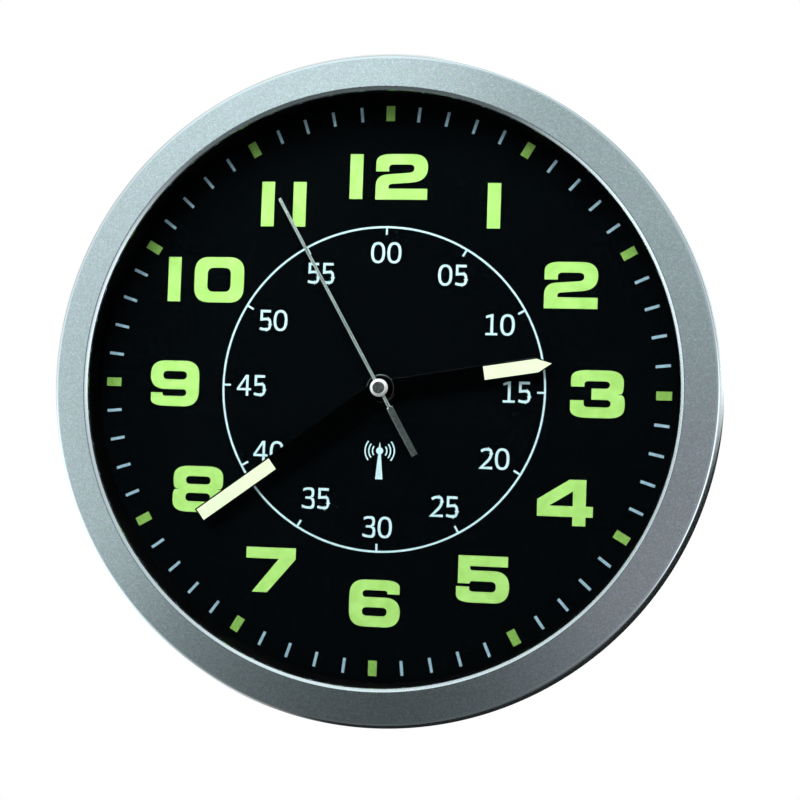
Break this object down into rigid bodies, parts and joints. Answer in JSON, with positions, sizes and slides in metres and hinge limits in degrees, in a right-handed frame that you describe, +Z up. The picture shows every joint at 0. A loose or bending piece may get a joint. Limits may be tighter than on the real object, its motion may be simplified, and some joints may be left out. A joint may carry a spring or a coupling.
{
  "type": "radio-controlled wall clock",
  "caption": "Round wall clock with a sloped silver bezel, flat glass, black luminous dial, three hands, and a geared radio-controlled movement set in a plastic back with a keyhole slot.",
  "frame": {"origin": "where the nail's shank rests at the upper end of the keyhole slot, in the plane of the wall", "axes": "+Z up, +X to the right as seen from the front, +Y into the wall; the clock faces -Y and its hands turn about an axis along Y, 98 mm below the origin"},
  "size_m": [0.3, 0.0429, 0.3],
  "materials": {
    "silver_paint": "satin",
    "lens_glass": "gloss",
    "black_plastic": "satin",
    "dial_face": "matte",
    "black_rubber": "matte",
    "steel": "satin",
    "hand_silver": "satin",
    "cap_chrome": "polished",
    "hand_black": "satin",
    "lume": "matte",
    "white_plastic": "satin",
    "nut_brass": "satin",
    "coil_wire": "gloss",
    "ferrite": "matte",
    "board_green": "satin",
    "battery_sleeve": "gloss",
    "magnet": "satin"
  },
  "bodies": {
    "case": {"bezel": "silver_paint", "lens": "lens_glass", "lens_seal": "black_rubber", "dial_spacer_ring": "black_plastic", "dial": "dial_face", "back_case": "black_plastic", "case_screw_1": "steel", "case_screw_2": "steel", "case_screw_3": "steel", "case_screw_4": "steel", "case_screw_5": "steel", "case_screw_6": "steel", "rubber_washer": "black_rubber", "steel_washer": "steel", "shaft_nut": "nut_brass", "movement_front_housing": "black_plastic", "movement_rear_housing": "black_plastic", "train_plate": "white_plastic", "train_bridge": "white_plastic", "minute_stator": "steel", "second_stator": "steel", "minute_coil": "coil_wire", "second_coil": "coil_wire", "circuit_board": "board_green", "receiver_chip": "black_plastic", "clock_crystal": "steel", "receiver_crystal": "steel", "ferrite_rod": "ferrite", "antenna_coil": "coil_wire", "battery": "battery_sleeve", "battery_positive_contact": "steel", "battery_negative_contact": "steel"},
    "minute_hand_shaft": {"minute_hand": "hand_black", "minute_hand_lume": "lume", "minute_wheel": "white_plastic"},
    "hour_hand_shaft": {"hour_hand": "hand_black", "hour_hand_lume": "lume", "hour_wheel": "white_plastic"},
    "motion_work": {"motion_work_wheel": "white_plastic"},
    "minute_inner_arbor": {"minute_inner_wheel": "white_plastic"},
    "minute_outer_arbor": {"minute_outer_wheel": "white_plastic"},
    "minute_motor_rotor": {"minute_rotor": "magnet"},
    "second_hand_shaft": {"second_hand": "hand_silver", "second_hand_cap": "cap_chrome", "second_wheel": "white_plastic"},
    "second_inner_arbor": {"second_inner_wheel": "white_plastic"},
    "second_motor_rotor": {"second_rotor": "magnet"},
    "receive_push": {"receive_button": "white_plastic"},
    "set_push": {"set_button": "white_plastic"},
    "reset_push": {"reset_button": "white_plastic"}
  },
  "joints": [
    {"name": "minute_hand_turn", "type": "hinge", "parent": "case", "child": "minute_hand_shaft", "pos_m": [0, -0.0284, -0.098], "axis": [0, 1, 0], "continuous": true},
    {"name": "hour_hand_turn", "type": "hinge", "parent": "case", "child": "hour_hand_shaft", "pos_m": [0, -0.0265, -0.098], "axis": [0, 1, 0], "continuous": true},
    {"name": "motion_work_turn", "type": "hinge", "parent": "case", "child": "motion_work", "pos_m": [0, -0.0168, -0.086], "axis": [0, 1, 0], "continuous": true},
    {"name": "minute_inner_turn", "type": "hinge", "parent": "case", "child": "minute_inner_arbor", "pos_m": [-0.00795, -0.0122, -0.10089], "axis": [0, 1, 0], "continuous": true},
    {"name": "minute_outer_turn", "type": "hinge", "parent": "case", "child": "minute_outer_arbor", "pos_m": [-0.01584, -0.0122, -0.09802], "axis": [0, 1, 0], "continuous": true},
    {"name": "minute_rotor_turn", "type": "hinge", "parent": "case", "child": "minute_motor_rotor", "pos_m": [-0.01464, -0.0085, -0.0912], "axis": [0, 1, 0], "continuous": true},
    {"name": "second_hand_turn", "type": "hinge", "parent": "case", "child": "second_hand_shaft", "pos_m": [0, -0.0301, -0.098], "axis": [0, 1, 0], "continuous": true},
    {"name": "second_inner_turn", "type": "hinge", "parent": "case", "child": "second_inner_arbor", "pos_m": [0.00789, -0.0122, -0.10087], "axis": [0, 1, 0], "continuous": true},
    {"name": "second_rotor_turn", "type": "hinge", "parent": "case", "child": "second_motor_rotor", "pos_m": [0.01209, -0.0085, -0.09667], "axis": [0, 1, 0], "continuous": true},
    {"name": "receive_press", "type": "slide", "parent": "case", "child": "receive_push", "axis": [0, -1, 0], "range_m": [0, 0.0006], "stiffness_N_per_m": 1500, "springref_m": -0.0003},
    {"name": "set_press", "type": "slide", "parent": "case", "child": "set_push", "axis": [0, -1, 0], "range_m": [0, 0.0006], "stiffness_N_per_m": 1500, "springref_m": -0.0003},
    {"name": "reset_press", "type": "slide", "parent": "case", "child": "reset_push", "axis": [0, -1, 0], "range_m": [0, 0.0006], "stiffness_N_per_m": 1500, "springref_m": -0.0003}
  ],
  "couplings": [
    {"joint": "hour_hand_turn", "follows": "minute_hand_turn", "ratio": 0.083333},
    {"joint": "motion_work_turn", "follows": "minute_hand_turn", "ratio": -0.33333},
    {"joint": "minute_inner_turn", "follows": "minute_hand_turn", "ratio": -5},
    {"joint": "minute_outer_turn", "follows": "minute_hand_turn", "ratio": 30},
    {"joint": "minute_rotor_turn", "follows": "minute_hand_turn", "ratio": -180},
    {"joint": "second_inner_turn", "follows": "second_hand_turn", "ratio": -6},
    {"joint": "second_rotor_turn", "follows": "second_hand_turn", "ratio": 30}
  ]
}
